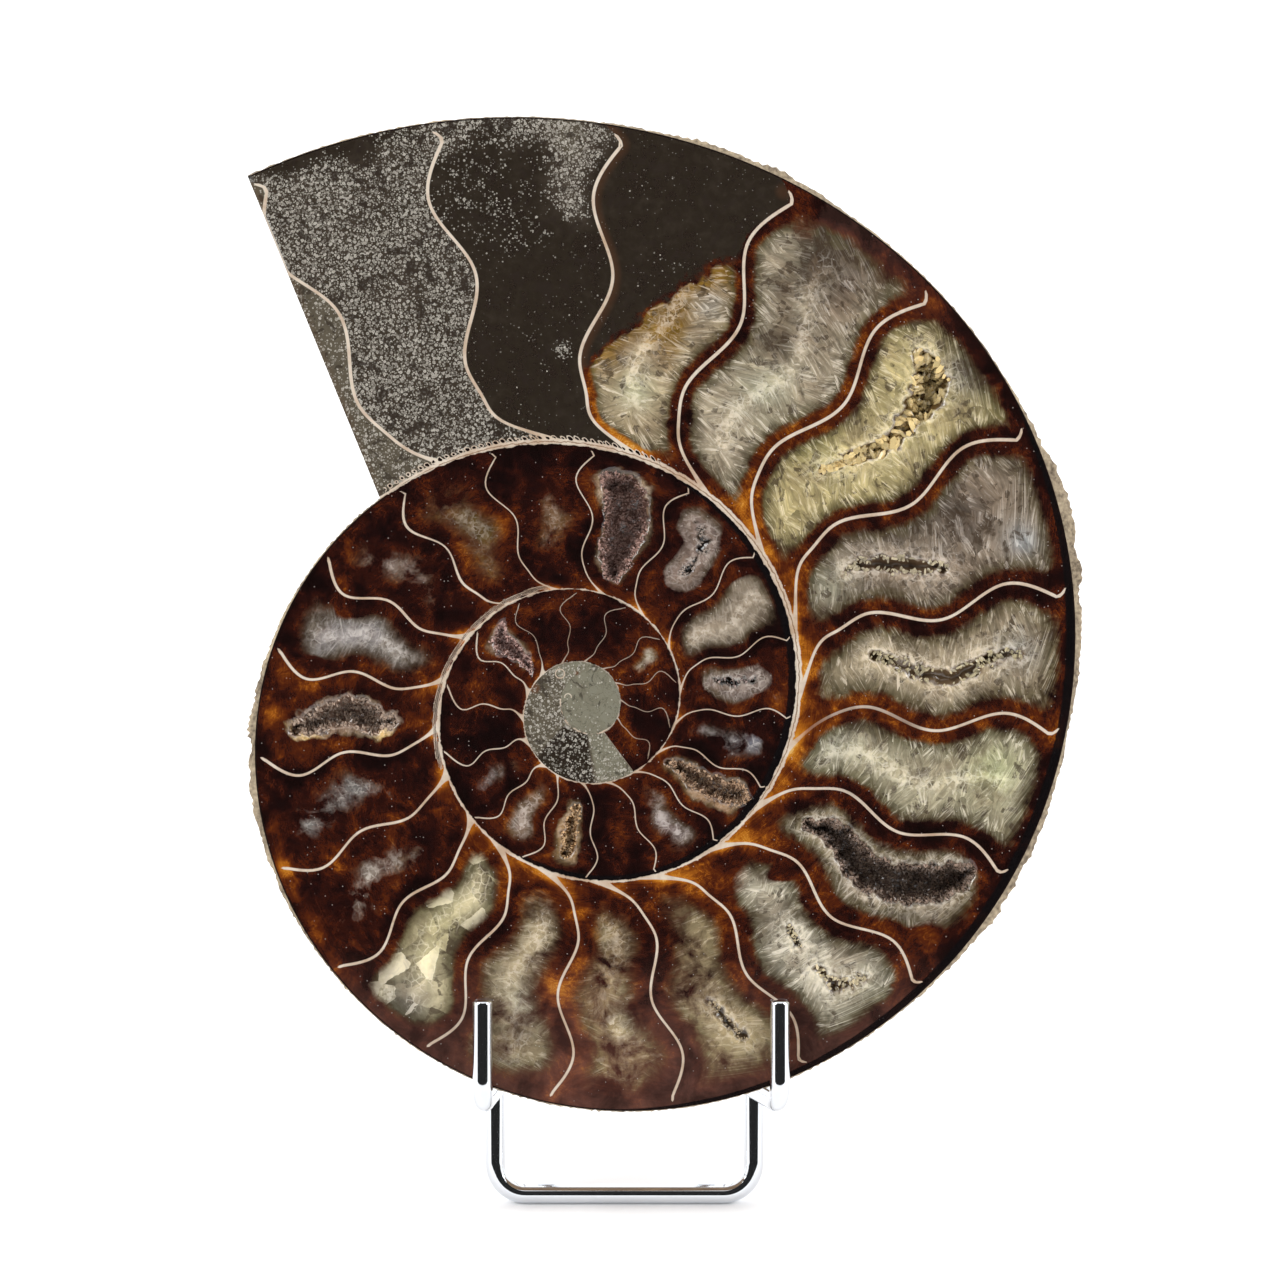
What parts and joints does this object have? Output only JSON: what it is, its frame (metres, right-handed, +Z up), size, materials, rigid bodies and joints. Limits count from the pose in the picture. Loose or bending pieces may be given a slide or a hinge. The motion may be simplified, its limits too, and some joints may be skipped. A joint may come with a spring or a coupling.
{
  "type": "ammonite fossil half on a wire stand",
  "caption": "Polished half of a chambered ammonite, flat cut face in front and ribbed flank behind, leaning on a small bent-wire display stand.",
  "frame": {"origin": "middle of the footprint of fossil and stand together, at table height", "axes": "+Z up, +X to the right as the polished face is seen, -Y the side that the polished face looks to"},
  "size_m": [0.1246, 0.0988, 0.165],
  "materials": {
    "ammonite": "polished",
    "crystals": "satin",
    "chrome_wire": "polished"
  },
  "bodies": {
    "root": {"fossil_half": "ammonite", "crystals_yellow_hollow": "crystals", "crystals_dark_hollow": "crystals", "crystals_left_hollow": "crystals", "crystals_mauve_hollow": "crystals", "crystals_tan_hollow": "crystals", "crystals_narrow_hollow": "crystals", "crystals_inner_hollow": "crystals", "stand_frame": "chrome_wire", "stand_rear_leg": "chrome_wire", "stand_hook_left": "chrome_wire", "stand_hook_right": "chrome_wire"}
  },
  "joints": []
}
